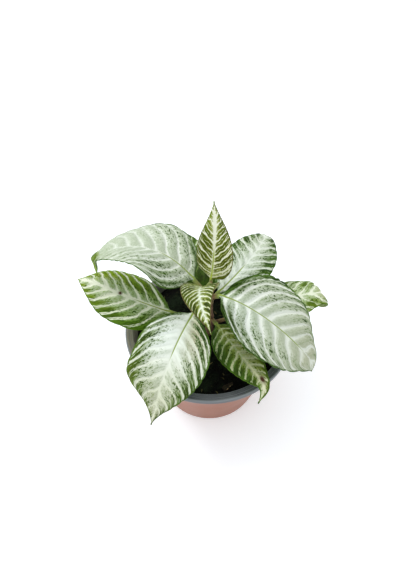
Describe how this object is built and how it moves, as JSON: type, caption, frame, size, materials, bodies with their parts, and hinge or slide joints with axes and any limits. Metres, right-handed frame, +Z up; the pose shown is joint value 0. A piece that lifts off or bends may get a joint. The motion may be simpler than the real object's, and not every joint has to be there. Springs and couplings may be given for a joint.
{
  "type": "potted zebra plant",
  "caption": "Young zebra plant with large white-striped leaves in opposite pairs on a short stem, in a round plastic nursery pot with a rolled lip.",
  "frame": {"origin": "centre of the pot's flat underside", "axes": "+Z up through the pot and stem, -Y towards the side that the picture shows"},
  "size_m": [0.1791, 0.1501, 0.1706],
  "materials": {
    "pot": "satin",
    "soil": "matte",
    "stem": "satin",
    "bark": "matte",
    "young_leaf": "satin",
    "silver_leaf": "satin",
    "green_leaf": "satin"
  },
  "bodies": {
    "root": {"pot": "pot", "soil": "soil", "stem": "stem", "bark_chip": "bark", "leaf_1_back": "young_leaf", "leaf_1_front": "young_leaf", "leaf_2_left": "silver_leaf", "leaf_2_right": "silver_leaf", "leaf_3_front": "silver_leaf", "leaf_3_back": "silver_leaf", "leaf_4_front": "green_leaf", "leaf_4_back": "green_leaf", "leaf_5_left": "green_leaf", "leaf_5_right": "green_leaf"}
  },
  "joints": []
}
